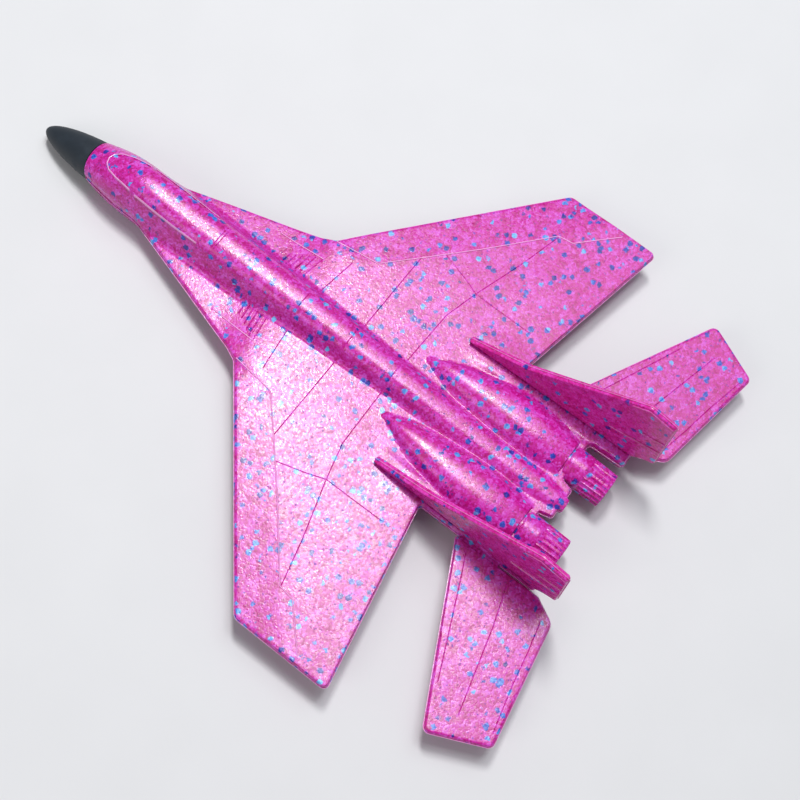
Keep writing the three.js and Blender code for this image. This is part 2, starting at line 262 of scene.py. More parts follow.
def densify(line, step):
    """The same polyline with no gap longer than `step`."""
    line = np.asarray(line, float)
    points = [line[0]]
    for start, end in zip(line[:-1], line[1:]):
        length = np.linalg.norm(end - start)
        if length < 1e-6:
            continue
        pieces = max(1, math.ceil(length / step))
        points += [start + (end - start) * k / pieces for k in range(1, pieces + 1)]
    return np.array(points)


def beside(line, offset):
    """A polyline parallel to another."""
    along = np.gradient(line, axis=0)
    along /= np.linalg.norm(along, axis=1)[:, None]
    return line + offset * np.stack([-along[:, 1], along[:, 0]], axis=1)


def distance_to_segments(points, starts, ends):
    """Distance from each point to the nearest of the segments."""
    nearest = np.full(len(points), 1e9)
    for start, end in zip(starts, ends):
        along = end - start
        t = np.clip((points - start) @ along / max(along @ along, 1e-12), 0, 1)
        nearest = np.minimum(nearest, np.hypot(*(points - start - t[:, None] * along).T))
    return nearest


def distance_to_lines(points, lines):
    starts = [start for line in lines for start in np.asarray(line, float)[:-1]]
    ends = [end for line in lines for end in np.asarray(line, float)[1:]]
    return distance_to_segments(points, starts, ends)


def outline_segments(outline):
    return outline, np.roll(outline, -1, axis=0)


def inside(points, outline):
    """Which points lie inside a closed outline."""
    odd = np.zeros(len(points), bool)
    x, y = points.T
    for (x0, y0), (x1, y1) in zip(*outline_segments(outline)):
        if y0 == y1:
            continue
        crosses = (y0 > y) != (y1 > y)
        odd ^= crosses & (x < (x1 - x0) * (y - y0) / (y1 - y0) + x0)
    return odd


def triangle_grid(low, high, step):
    """Points on an equilateral grid over a rectangle."""
    rows = np.arange(low[1], high[1], step * math.sqrt(3) / 2)
    points = []
    for i, y in enumerate(rows):
        xs = np.arange(low[0] + (i % 2) * step / 2, high[0], step)
        points.append(np.stack([xs, np.full(len(xs), y)], axis=1))
    return np.concatenate(points)


def mirrored(lines):
    """The lines of the left half with their mirror images."""
    return [np.array(line, float) * [side, 1] for line in lines for side in (1, -1)]


def triangulate(outline, relief_lines, fine_zone):
    """Points, triangles and the outline's own points, in order, of a mesh over an outline.

    Points are closer together near the edge, along the relief lines and in the fine zone.
    """
    starts, ends = outline_segments(outline)
    inward = np.roll(outline, -1, axis=0) - np.roll(outline, 1, axis=0)
    inward = np.stack([-inward[:, 1], inward[:, 0]], axis=1)
    inward /= np.linalg.norm(inward, axis=1)[:, None]
    rings = []
    for depth in EDGE_RINGS:
        ring = outline + inward * depth
        near = distance_to_segments(ring, starts, ends)
        rings.append(ring[(near > depth * 0.96) & inside(ring, outline)])
    rails = []
    for line, (half, height) in relief_lines:
        shares = (-1, 0, 1) if height < 0 else (-1, -0.6, 0, 0.6, 1)
        rails += [beside(line, share * half) for share in shares]
    grids = []
    for step, wanted in ((PLAIN_STEP, False), (FINE_STEP, True)):
        grid = triangle_grid(outline.min(0), outline.max(0), step)
        grid = grid[fine_zone(grid) == wanted]
        grid = grid[inside(grid, outline)]
        grid = grid[distance_to_segments(grid, starts, ends) > EDGE_BAND + step * 0.4]
        if relief_lines:
            centres = [line for line, _ in relief_lines]
            grid = grid[distance_to_lines(grid, centres) > RIDGE[0] + step * 0.4]
        grids.append(grid)
    points = [outline] + rails + rings + grids
    edges = []
    count = len(outline)
    for rail in rails:
        edges += [(count + k, count + k + 1) for k in range(len(rail) - 1)]
        count += len(rail)
    coords = [Vector(point) for point in np.concatenate(points)]
    result = delaunay_2d_cdt(coords, edges, [list(range(len(outline)))], 1, 1e-5)
    verts = np.array([tuple(v) for v in result[0]])
    border = {}
    for i, origins in enumerate(result[3]):
        border.update((origin, i) for origin in origins if origin < len(outline))
    return verts, [tuple(face) for face in result[2]], [border[k] for k in range(len(outline))]


def relief(points, relief_lines):
    """Height of the relief lines: V-shaped grooves and rounded ridges."""
    total = np.zeros(len(points))
    for line, (half, height) in relief_lines:
        near = (points > line.min(0) - 2).all(1) & (points < line.max(0) + 2).all(1)
        if not near.any():
            continue
        t = np.clip(distance_to_lines(points[near], [line]) / half, 0, 1)
        shape = 1 - t if height < 0 else np.sqrt(1 - t * t)
        total[near] = np.where(shape > 0, height * shape, total[near])
    return total


def crests(points, relief_lines):
    """1 on the crest of a raised line, falling to 0 at its foot."""
    ridges = [(line, (half, 1.0)) for line, (half, height) in relief_lines if height > 0]
    return relief(points, ridges)


def waves(points):
    """A slow, fixed unevenness of moulded foam."""
    x, y = points.T
    swell = np.sin(x / 9.7 + 1.3 * np.sin(y / 14.0)) * np.sin(y / 11.3 + 0.6)
    ripple = np.sin(x / 4.9 + y / 6.1 + 0.4) * np.sin(y / 5.3 - x / 7.7)
    return WAVINESS * (swell + 0.45 * ripple)


def edge_fall(points, outline, rounding):
    """From 0 at an outline to 1 where the rounding of the edge is over."""
    gap = distance_to_segments(points, *outline_segments(outline))
    t = np.clip(gap / rounding, 0, 1)
    return np.sqrt(np.clip(1 - (1 - t) ** 2, 0, 1))


# ------------------------------------------------------------------ mesh helpers

def new_object(name, verts, faces, material):
    """A mesh object from millimetre points."""
    mesh = bpy.data.meshes.new(name)
    mesh.from_pydata([tuple(v) for v in np.asarray(verts) * MM], [], faces)
    mesh.validate()
    mesh.update()
    piece = bpy.data.objects.new(name, mesh)
    bpy.context.scene.collection.objects.link(piece)
    piece.data.materials.append(material)
    return piece


def shade(piece, angle=34):
    """Smooth shading, with the edges that turn by more than the angle kept crisp."""
    mesh = piece.data
    mesh.polygons.foreach_set("use_smooth", [True] * len(mesh.polygons))
    mesh.set_sharp_from_angle(angle=math.radians(angle))


def inset(outline, depth):
    """The outline moved inwards, or outwards for a depth below 0."""
    inward = np.roll(outline, -1, axis=0) - np.roll(outline, 1, axis=0)
    inward = np.stack([-inward[:, 1], inward[:, 0]], axis=1)
    return outline + depth * inward / np.linalg.norm(inward, axis=1)[:, None]


def slab(name, outline, upper, lower, upper_lines, lower_lines, fine_zone, material):
    """A closed body between two height functions over one outline, with flash round its edge."""
    top_points, top_faces, top_border = triangulate(outline, upper_lines, fine_zone)
    low_points, low_faces, low_border = triangulate(outline, lower_lines, fine_zone)
    top = np.column_stack([top_points, upper(top_points)])
    low = np.column_stack([low_points, lower(low_points)])
    flash_edge = inset(outline, -FLASH)
    flash_top = np.column_stack([flash_edge, top[top_border, 2] - 0.05])
    flash_low = np.column_stack([flash_edge, low[low_border, 2] + 0.05])
    verts = np.concatenate([top, low, flash_top, flash_low])
    faces = list(top_faces) + [tuple(len(top) + i for i in reversed(face)) for face in low_faces]
    count = len(outline)
    first = len(top) + len(low)
    rows = [top_border]
    rows.append([first + k for k in range(count)])
    rows.append([first + count + k for k in range(count)])
    rows.append([len(top) + i for i in low_border])
    for above, below in zip(rows[:-1], rows[1:]):
        for k in range(count):
            after = (k + 1) % count
            faces.append((above[k], below[k], below[after], above[after]))
    piece = new_object(name, verts, faces, material)
    # The crest attribute carries a painted highlight: it is 1 on the flash round the edge and on
    # the crests of raised lines, which the material paints paler.
    crest = np.ones(len(verts))
    crest[:len(top)] = crests(top_points, upper_lines)
    crest[len(top):first] = crests(low_points, lower_lines)
    piece.data.attributes.new("crest", "FLOAT", "POINT").data.foreach_set("value", crest)
    return piece


def turned(name, profile, sides, material, modulate=None):
    """A closed body of revolution about Y, from [radius, y] points whose ends are on the axis."""
    verts = [(0, profile[0][1], 0)]
    rings = profile[1:-1]
    for radius, y in rings:
        for k in range(sides):
            angle = 2 * math.pi * k / sides
            r = radius + (modulate(radius, y, angle) if modulate else 0)
            verts.append((r * math.cos(angle), y, r * math.sin(angle)))
    verts.append((0, profile[-1][1], 0))
    last = len(verts) - 1
    faces = [(0, 1 + k, 1 + (k + 1) % sides) for k in range(sides)]
    for ring in range(len(rings) - 1):
        base = 1 + ring * sides
        for k in range(sides):
            after = (k + 1) % sides
            faces.append((base + k, base + sides + k, base + sides + after, base + after))
    base = 1 + (len(rings) - 1) * sides
    faces += [(last, base + (k + 1) % sides, base + k) for k in range(sides)]
    return new_object(name, verts, faces, material)


def place(piece, matrix):
    """Moves a piece's vertices, so that its object stays at the origin."""
    piece.data.transform(matrix)
    if matrix.determinant() < 0:
        piece.data.flip_normals()


def millimetre_matrix(matrix):
    """A matrix whose translation is given in millimetres, for a mesh in metres."""
    result = matrix.copy()
    result.translation = matrix.translation * MM
    return result


def block(low, high, matrix=None):
    """A cutting block between two corners."""
    low, high = np.minimum(low, high), np.maximum(low, high)
    ends = (low, high)
    corners = [(i, j, k) for i in (0, 1) for j in (0, 1) for k in (0, 1)]
    verts = [[ends[i][0], ends[j][1], ends[k][2]] for i, j, k in corners]
    faces = [(0, 1, 3, 2), (4, 6, 7, 5), (0, 4, 5, 1), (2, 3, 7, 6), (0, 2, 6, 4), (1, 5, 7, 3)]
    cutter = new_object("cutter", verts, faces, foam)
    if matrix is not None:
        place(cutter, millimetre_matrix(matrix))
    return cutter


def check_closed(piece):
    """Stops the script at an open mesh, which the booleans would leave as it was."""
    mesh = piece.data
    edges = np.empty(len(mesh.loops), np.int32)
    mesh.loops.foreach_get("edge_index", edges)
    if (np.bincount(edges, minlength=len(mesh.edges)) != 2).any():
        raise ValueError(f"{piece.name} isn't closed")


def combine(piece, others, operation):
    """Joins or cuts closed meshes, leaves one mesh and removes the others."""
    for closed in [piece] + others:
        check_closed(closed)
    before = len(piece.data.vertices)
    for other in others:
        modifier = piece.modifiers.new("combine", "BOOLEAN")
        modifier.operation = operation
        modifier.solver = "MANIFOLD"
        modifier.object = other
    depsgraph = bpy.context.evaluated_depsgraph_get()
    result = bpy.data.meshes.new_from_object(piece.evaluated_get(depsgraph))
    if len(result.vertices) in (0, before):
        raise ValueError(f"{piece.name} wasn't changed")
    piece.modifiers.clear()
    piece.data = result
    for other in others:
        bpy.data.objects.remove(other)


# ------------------------------------------------------------------ materials

class Nodes:
    """Short calls for building a material's node tree."""

    def __init__(self, name):
        self.material = bpy.data.materials.new(name)
        self.material.use_nodes = True
        self.tree = self.material.node_tree
        self.shader = self.tree.nodes["Principled BSDF"]
        self.place = self.add("ShaderNodeTexCoord").outputs["Object"]

    def add(self, kind, **settings):
        node = self.tree.nodes.new(kind)
        for key, value in settings.items():
            setattr(node, key, value)
        return node

    def link(self, source, target):
        self.tree.links.new(source, target)

    def feed(self, node, inputs):
        for key, value in inputs.items():
            if isinstance(value, bpy.types.NodeSocket):
                self.link(value, node.inputs[key])
            else:
                node.inputs[key].default_value = value

    def voronoi(self, size_mm, feature="F1", **inputs):
        node = self.add("ShaderNodeTexVoronoi", feature=feature)
        self.feed(node, {"Vector": self.place, "Scale": 1 / (size_mm * MM), **inputs})
        return node

    def noise(self, size_mm, detail=3.0, vector=None):
        node = self.add("ShaderNodeTexNoise")
        scale = 1 / (size_mm * MM)
        self.feed(node, {"Vector": vector or self.place, "Scale": scale, "Detail": detail})
        return node.outputs["Fac"]

    def ramp(self, factor, stops, interpolation="LINEAR"):
        node = self.add("ShaderNodeValToRGB")
        node.color_ramp.interpolation = interpolation
        elements = node.color_ramp.elements
        while len(elements) < len(stops):
            elements.new(0.5)
        for element, (position, colour) in zip(elements, stops):
            element.position = position
            element.color = (*colour, 1)
        self.link(factor, node.inputs["Fac"])
        return node.outputs["Color"]

    def math(self, operation, a, b=0.0):
        node = self.add("ShaderNodeMath", operation=operation)
        self.feed(node, {0: a, 1: b})
        return node.outputs[0]

    def spread(self, value, low, high, to_low=0.0, to_high=1.0):
        node = self.add("ShaderNodeMapRange", interpolation_type="SMOOTHSTEP")
        limits = {"From Min": low, "From Max": high, "To Min": to_low, "To Max": to_high}
        self.feed(node, {"Value": value, **limits})
        return node.outputs["Result"]

    def mix(self, factor, a, b, blend="MIX"):
        node = self.add("ShaderNodeMix", data_type="RGBA", blend_type=blend)
        self.feed(node, {0: factor, 6: a, 7: b})
        return node.outputs[2]

    def channels(self, colour):
        node = self.add("ShaderNodeSeparateColor")
        self.link(colour, node.inputs[0])
        return node.outputs

    def bump(self, height, distance_mm, strength, normal=None):
        node = self.add("ShaderNodeBump")
        self.feed(node, {"Height": height, "Distance": distance_mm * MM, "Strength": strength})
        if normal is not None:
            self.link(normal, node.inputs["Normal"])
        return node.outputs["Normal"]


def bead_foam(name, blue_from, crest_highlight, pinks):
    """Fused foam beads: mottled pink, with scattered blue beads and a glossy moulded skin.

    A bead is blue where its random pick is above blue_from. Raised ridges and the flash round the
    edges get a painted highlight: a pale pink mixed in by the third argument.
    """
    bead_size, grain_size = 4.0, 1.35
    warp_size, warp_reach = 2.2, 2.4
    n = Nodes(name)
    wobble = n.add("ShaderNodeVectorMath", operation="MULTIPLY_ADD")
    drift = n.add("ShaderNodeTexNoise")
    n.feed(drift, {"Vector": n.place, "Scale": 1 / (warp_size * MM), "Detail": 2.0})
    n.feed(wobble, {0: drift.outputs["Color"], 1: (warp_reach * MM,) * 3, 2: n.place})
    warped = wobble.outputs[0]
    bead = n.voronoi(bead_size, Vector=warped)
    border = n.voronoi(bead_size, feature="DISTANCE_TO_EDGE", Vector=warped).outputs["Distance"]
    grain = n.voronoi(grain_size, Vector=warped)
    bead_tone, bead_pick, bead_hue = n.channels(bead.outputs["Color"])[:3]
    grain_tone, grain_pick, grain_gloss = n.channels(grain.outputs["Color"])[:3]
    patch = n.noise(11, 2.0)
    fleck = n.noise(0.8, 3.0)
    tone = n.math("ADD", n.math("MULTIPLY", bead_tone, 0.22), n.math("MULTIPLY", grain_tone, 0.38))
    tone = n.math("ADD", tone, n.math("MULTIPLY", fleck, 0.40))
    pink = n.ramp(tone, list(zip((0.26, 0.43, 0.57, 0.75), pinks)))
    shift = n.math("ADD", n.math("MULTIPLY", bead_hue, 0.6), n.math("MULTIPLY", grain_tone, 0.3))
    hue = n.ramp(n.math("ADD", shift, n.math("MULTIPLY", fleck, 0.3)), [
        (0.25, (0.035, 0.012, 0.22)),
        (0.48, (0.025, 0.045, 0.42)),
        (0.70, (0.050, 0.18, 0.64)),
        (0.95, (0.15, 0.46, 0.78)),
    ])
    chance = n.math("ADD", bead_pick, n.math("MULTIPLY", n.math("SUBTRACT", patch, 0.5), 0.30))
    blot = n.math("ADD", bead.outputs["Distance"], n.math("MULTIPLY", fleck, 0.35))
    is_blue = n.spread(chance, blue_from, blue_from + 0.01)
    coloured = n.math("MULTIPLY", is_blue, n.spread(blot, 0.56, 0.74, 1.0, 0.0))
    is_speck = n.spread(grain_pick, 0.90, 0.92)
    speck = n.math("MULTIPLY", is_speck, n.spread(grain.outputs["Distance"], 0.3, 0.5, 1, 0))
    speck = n.math("MAXIMUM", speck, n.spread(n.noise(1.5, 3.0), 0.66, 0.74))
    dark = n.mix(n.spread(grain_gloss, 0.55, 0.75), (0.19, 0.010, 0.20, 1), (0.05, 0.03, 0.36, 1))
    colour = n.mix(n.math("MULTIPLY", speck, 0.65), pink, dark)
    colour = n.mix(coloured, colour, hue)
    crest = n.add("ShaderNodeAttribute", attribute_name="crest").outputs["Fac"]
    # Painted highlight: the crests of raised lines and the flash round the edges are mixed towards
    # a pale pink.
    colour = n.mix(n.spread(crest, 0.35, 0.9, 0.0, crest_highlight), colour, (0.92, 0.45, 0.78, 1))
    n.link(colour, n.shader.inputs["Base Color"])
    skin = n.noise(0.45, 4.0)
    rough = n.math("ADD", n.math("MULTIPLY", skin, 0.10), n.math("MULTIPLY", grain_gloss, 0.24))
    rough = n.math("ADD", rough, n.math("MULTIPLY", speck, 0.2))
    n.link(n.math("ADD", rough, 0.13), n.shader.inputs["Roughness"])
    dome = n.spread(border, 0.0, 0.3)
    dents = n.spread(grain.outputs["Distance"], 0.0, 0.8, 1.0, 0.0)
    normal = n.bump(dome, 0.04, 0.6)
    normal = n.bump(dents, 0.05, 0.7, normal)
    normal = n.bump(skin, 0.015, 0.6, normal)
    n.link(normal, n.shader.inputs["Normal"])
    n.shader.inputs["IOR"].default_value = 1.5
    n.shader.inputs["Coat Weight"].default_value = 0.15
    n.shader.inputs["Coat Roughness"].default_value = 0.22
    return n.material


def soft_rubber():
    """Matte charcoal rubber with a fine moulded grain and faint dusty rubs."""
    n = Nodes("soft_rubber")
    rub = n.spread(n.noise(9, 5.0), 0.46, 0.78)
    grain = n.noise(0.35, 2.0)
    colour = n.mix(rub, (0.009, 0.016, 0.024, 1), (0.016, 0.026, 0.037, 1))
    n.link(colour, n.shader.inputs["Base Color"])
    n.link(n.spread(rub, 0, 1, 0.56, 0.7), n.shader.inputs["Roughness"])
    normal = n.bump(n.noise(6, 2.0), 0.15, 0.3)
    n.link(n.bump(grain, 0.04, 0.5, normal), n.shader.inputs["Normal"])
    return n.material


def turned_steel():
    """Plain steel with fine turning rings."""
    n = Nodes("turned_steel")
    squeeze = n.add("ShaderNodeMapping")
    squeeze.inputs["Scale"].default_value = (0.05, 1.0, 0.05)
    n.link(n.place, squeeze.inputs["Vector"])
    rings = n.noise(0.25, 2.0, squeeze.outputs["Vector"])
    colour = n.mix(n.noise(3, 3.0), (0.42, 0.43, 0.44, 1), (0.56, 0.57, 0.58, 1))
    n.link(colour, n.shader.inputs["Base Color"])
    n.link(n.spread(rings, 0.3, 0.7, 0.28, 0.42), n.shader.inputs["Roughness"])
    n.link(n.bump(rings, 0.02, 0.5), n.shader.inputs["Normal"])
    n.shader.inputs["Metallic"].default_value = 1.0
    return n.material


def pale_floor():
    """A plain pale floor with the faintest unevenness."""
    n = Nodes("pale_floor")
    colour = n.mix(n.noise(60, 4.0), (0.66, 0.66, 0.65, 1), (0.70, 0.70, 0.69, 1))
    n.link(colour, n.shader.inputs["Base Color"])
    n.link(n.bump(n.noise(2, 3.0), 0.05, 0.3), n.shader.inputs["Normal"])
    n.shader.inputs["Roughness"].default_value = 0.75
    return n.material


BODY_PINKS = ((0.42, 0.003, 0.17), (0.55, 0.009, 0.275), (0.60, 0.028, 0.40), (0.67, 0.095, 0.61))
# The fins' pinks are a redder, less blue copy of the body's pinks for the same foam. They give its
# look in shade, out of the glare: painted shade colour.
FIN_SHADE_PINKS = ((0.47, 0.003, 0.17), (0.62, 0.009, 0.28), (0.68, 0.028, 0.39), (0.75, 0.070, 0.53))
foam = bead_foam("bead_foam", 0.79, 0.75, BODY_PINKS)
fin_shade_foam = bead_foam("fin_shade_bead_foam", 0.87, 0.3, FIN_SHADE_PINKS)
rubber = soft_rubber()
steel = turned_steel()

# ------------------------------------------------------------------ airframe

spine_at = station_table(SPINE_STATIONS)
back_at = station_table(BACK_STATIONS)
hump_at = station_table(HUMP_STATIONS)


def wing_middle(y):
    """Height of the plates' middle: the strakes and the nose sit a little below the wing."""
    return -3.6 + 1.1 * smoothstep(y, -140, -90) + 2.5 * smoothstep(y, -60, -15)


def arch(offset, half_width, top, base, squareness, straight_from):
    """Height of a rounded ridge. From a share of its half width it runs on down straight."""
    t = np.abs(offset) / np.maximum(half_width, 0.1)
    rounded = np.minimum(t, straight_from)
    curve = (1 - rounded ** squareness) ** (1 / squareness)
    slope = rounded ** (squareness - 1) * (1 - rounded ** squareness) ** (1 / squareness - 1)
    return base + (top - base) * (curve - slope * (t - rounded))


def plate_half(points):
    """Half the thickness of the wing's plate."""
    return WING_HALF - WING_THINNING * smoothstep(np.abs(points[:, 0]), 60, HALF_SPAN)


def wing_fall(points):
    """How far the upper skin falls towards the wing's edges and the strakes' sides."""
    x, y = np.abs(points[:, 0]), points[:, 1]
    flap = np.array(FLAP_TIP, float) - FLAP_ROOT
    along = flap / np.linalg.norm(flap)
    ahead = (x - FLAP_ROOT[0]) * along[1] - (y - FLAP_ROOT[1]) * along[0]
    flap_fall = FLAP_SLOPE * np.maximum(ahead, 0) * smoothstep(x, 47, 53)
    tip, root = np.array(AIRFRAME_OUTLINE[7][:2], float), np.array(AIRFRAME_OUTLINE[8][:2], float)
    along = (tip - root) / np.linalg.norm(tip - root)
    from_rear = (x - root[0]) * along[1] - (y - root[1]) * along[0]
    taper = TAPER * (1 - smoothstep(from_rear, 0, 50)) * smoothstep(x, 54, 70)
    strake = STRAKE_SLOPE * np.maximum(x - 15, 0)
    strake = strake * (1 - smoothstep(y, -52, -28)) * (1 - smoothstep(x, 46, 60))
    return flap_fall + taper + strake


def boom_zone(points):
    """1 on the tail booms, falling to 0 on the wing around them."""
    across = smoothstep(np.abs(points[:, 0]), BOOM_IN - 5.5, BOOM_IN)
    return across * smoothstep(points[:, 1], 62, 104)


def airframe_outline():
    left = AIRFRAME_OUTLINE
    right = [[-x, y, radius] for x, y, radius in reversed(left)]
    return inset(rounded_outline(left + right, OUTLINE_STEP), FLASH)


frame_outline = airframe_outline()


def airframe_lines():
    louvres = []
    for i in range(LOUVRES):
        y = LOUVRE_START + LOUVRE_PITCH * i
        length = LOUVRE_LENGTH + LOUVRE_GROWTH * i
        louvres.append([[18, y], [18 + length, y + 0.14 * length]])
    grooves = mirrored(WING_GROOVES)
    for y in SPINE_LINES:
        reach = min(7.0, float(spine_at(y)[0]) - 2.5)
        grooves.append(np.array([[-reach, y], [reach, y]]))
    lines = [(line, GROOVE) for line in grooves] + [(line, LOUVRE) for line in mirrored(louvres)]
    lines += [(line, SEAM) for line in mirrored(WING_SEAMS)]
    return [(densify(line, OUTLINE_STEP), kind) for line, kind in lines]


def sill_lines():
    left, right = [], []
    for line in CANOPY_SILL:
        left.append(np.array(line, float))
        right.append(np.array(line, float) * [-1, 1])
    front = np.concatenate([right[0][::-1], left[0][1:]])
    return [(densify(line, OUTLINE_STEP), SILL) for line in (front, left[1], right[1])]


top_lines = airframe_lines() + sill_lines()


def airframe_top(points):
    x, y = points.T
    half_width, top, _ = spine_at(y)
    middle = wing_middle(y)
    fall = edge_fall(points, frame_outline, EDGE_ROUND)
    boom = boom_zone(points)
    thickness = plate_half(points) - wing_fall(points) + boom * (BOOM_TOP - WING_HALF)
    thickness = thickness + waves(points)
    height = middle + FLASH_HALF + (thickness - FLASH_HALF) * fall
    tube = arch(x, half_width, top, -3.0, 2.1, 0.995)
    back_half, back_base = back_at(y)
    back = arch(x, back_half, top, back_base, 2.8, 0.86)
    shoulder_top = 15.0 - 14.0 * smoothstep(y, -110, -20)
    shoulder = arch(x, half_width, shoulder_top, -3.0, 1.75, 0.9)
    stepped = smooth_max(back, shoulder, 2.5)
    share = smoothstep(y, -162, -128)
    spine = tube * (1 - share) + stepped * share + 0.6 * waves(points)
    hump_middle, hump_half, hump_top = hump_at(y)
    from_middle = np.abs(x) - hump_middle
    squareness = np.where(from_middle < 0, 2.2, 2.5)
    humps = arch(from_middle, hump_half, hump_top, 0.0, squareness, 0.86) + waves(points)
    humps = humps - 12 * (1 - smoothstep(y, *HUMP_START))
    humps = humps - 40 * np.clip((y - ENGINE_END) / 0.5, 0, 1)
    from_edge = distance_to_segments(points, *outline_segments(frame_outline))
    fillet = 0.2 + (3.8 - 1.4 * smoothstep(y, 20, 60)) * smoothstep(from_edge, 0, 6)
    body = smooth_max(height, spine, fillet)
    body = smooth_max(body, humps, 1.3 + 1.9 * (1 - smoothstep(from_middle, -6, 2)))
    return WING_Z + np.where(fall < 0.02, height, body + relief(points, top_lines))


def airframe_bottom(points):
    x, y = points.T
    half_width, _, bottom = spine_at(y)
    middle = wing_middle(y)
    fall = edge_fall(points, frame_outline, EDGE_ROUND)
    boom = boom_zone(points)
    thickness = plate_half(points) + boom * (BOOM_BOTTOM - WING_HALF) - waves(points)
    depth = -middle + FLASH_HALF + (thickness - FLASH_HALF) * fall
    keel = arch(x, half_width, bottom, 3.0, 2.3, 0.985)
    front = smoothstep(y, -62, -50)
    rear = 1 - 0.26 * smoothstep(y, 128, ENGINE_END)
    trunk_depth = (14.5 + (TRUNK_DEPTH - 14.5) * front) * rear
    wall = np.clip((TRUNK_HALF - np.abs(np.abs(x) - ENGINE_X)) / 1.6, 0, 1)
    wall = np.sqrt(np.clip(1 - (1 - wall) ** 2, 0, 1))
    ends = np.clip((y - TRUNK_START) / 0.6, 0, 1) * np.clip((ENGINE_END + 1 - y) / 0.8, 0, 1)
    trunk = trunk_depth * wall * ends
    body = smooth_max(depth, keel, 3.0)
    body = np.minimum(smooth_max(body, trunk, 1.2), TRUNK_DEPTH)
    return WING_Z - np.where(fall < 0.02, depth, body)


def body_zone(points):
    """Where the surface is curved enough to need closely spaced points."""
    x, y = np.abs(points[:, 0]), points[:, 1]
    return (x < 40.5) | ((x < 56) & (y > 60))


def no_zone(points):
    """For plates that are flat all over."""
    return np.zeros(len(points), bool)


def nozzle(side):
    """A ribbed exhaust nozzle, with its petals parted by grooves and a shallow open end."""
    start = ENGINE_END - 6
    barrel_start, barrel_end = COLLAR + 0.9, RIB_START - 1.0
    petal_start, petal_end = RIB_START + 0.2, NOZZLE_END - 1.0
    outside = [(0, start), (NOZZLE_RADIUS - 0.9, start), (NOZZLE_RADIUS - 0.9, COLLAR)]
    outside += [(NOZZLE_RADIUS + 0.1, COLLAR + 0.2), (NOZZLE_RADIUS + 0.5, barrel_start)]
    shares = [k / 7 for k in range(1, 8)]
    for t in shares:
        radius = NOZZLE_RADIUS + 0.5 - 0.2 * t * t
        outside.append((radius, barrel_start + (barrel_end - barrel_start) * t))
    outside += [(NOZZLE_RADIUS - 0.1, RIB_START - 0.3), (NOZZLE_RADIUS - 0.35, petal_start)]
    for t in shares:
        radius = NOZZLE_RADIUS - 0.35 - 0.45 * t
        outside.append((radius, petal_start + (petal_end - RIB_START) * t))
    outside += [(NOZZLE_RADIUS - 0.95, NOZZLE_END - 0.4), (NOZZLE_RADIUS - 1.4, NOZZLE_END)]
    inside_wall = [(NOZZLE_RADIUS - 2.0, NOZZLE_END), (NOZZLE_RADIUS - 2.5, NOZZLE_END - 0.6)]
    inside_wall += [(NOZZLE_RADIUS - 3.2, NOZZLE_END - 5), (NOZZLE_RADIUS - 4.2, NOZZLE_END - 7.6)]
    inside_wall += [(4.0, NOZZLE_END - 8.2), (2.0, NOZZLE_END - 7.4), (0, NOZZLE_END - 7.0)]

    def petals(radius, y, angle):
        if y < RIB_START + 0.1 or radius < NOZZLE_RADIUS - 3.4:
            return 0.0
        rib = abs(math.cos(angle * PETALS / 2)) ** 8
        return 0.6 * rib if radius > NOZZLE_RADIUS - 1.2 else -0.3 * rib

    piece = turned("nozzle", outside + inside_wall, PETALS * 10, foam, petals)
    place(piece, Matrix.Translation(Vector((side * ENGINE_X, 0, NOZZLE_Z)) * MM))
    return piece


def nose_placement(tilt):
    """Puts a piece drawn about Y at the nose joint, drooping by the tilt."""
    return Matrix.Translation(Vector(NOSE_JOINT)) @ Matrix.Rotation(tilt, 4, "X")


def spigot():
    """The foam peg that the nose cone is pushed onto, with a rounded end."""
    profile = [(0, -SPIGOT_LENGTH), (SPIGOT_RADIUS - 1.2, -SPIGOT_LENGTH)]
    profile += [(SPIGOT_RADIUS - 0.3, -SPIGOT_LENGTH + 0.4), (SPIGOT_RADIUS, -SPIGOT_LENGTH + 1.2)]
    profile += [(SPIGOT_RADIUS, 6), (0, 6)]
    piece = turned("spigot", profile, 64, foam)
    place(piece, millimetre_matrix(nose_placement(NOSE_DROOP)))
    return piece


def fin_placement(side):
    """Puts a fin drawn at the origin onto its boom, leaning outwards and toed in."""
    turn = Matrix.Rotation(-side * FIN_TOE, 4, "Z") @ Matrix.Rotation(side * FIN_CANT, 4, "Y")
    return Matrix.Translation(Vector((side * FIN_ROOT[0], FIN_ROOT[1], WING_Z))) @ turn


def slot_cutters(side):
    """Blocks for the two fin slots, the stabilizer slot and the intake pocket of one side."""
    cutters = []
    half = FIN_TAB_HALF + SOCKET_GAP
    for start, end in FIN_TABS:
        low = (-half, start - SOCKET_GAP, FIN_FOOT - FIN_TAB_DEPTH - SOCKET_GAP)
        high = (half, end + SOCKET_GAP, FIN_FOOT + SLOT_OVERCUT)
        cutters.append(block(low, high, fin_placement(side)))
    half = STAB_TONGUE_HALF + SOCKET_GAP
    inner = BOOM_OUT - STAB_TONGUE_DEPTH - SOCKET_GAP
    low = (side * inner, STAB_TONGUE[0] - SOCKET_GAP, STAB_Z - half)
    high = (side * (BOOM_OUT + SLOT_OVERCUT), STAB_TONGUE[1] + SOCKET_GAP, STAB_Z + half)
    cutters.append(block(low, high))
    low = (side * ENGINE_X - POCKET_HALF, POCKET_Y[0], POCKET_Z[0])
    high = (side * ENGINE_X + POCKET_HALF, POCKET_Y[1], POCKET_Z[1])
    cutters.append(block(low, high))
    return cutters


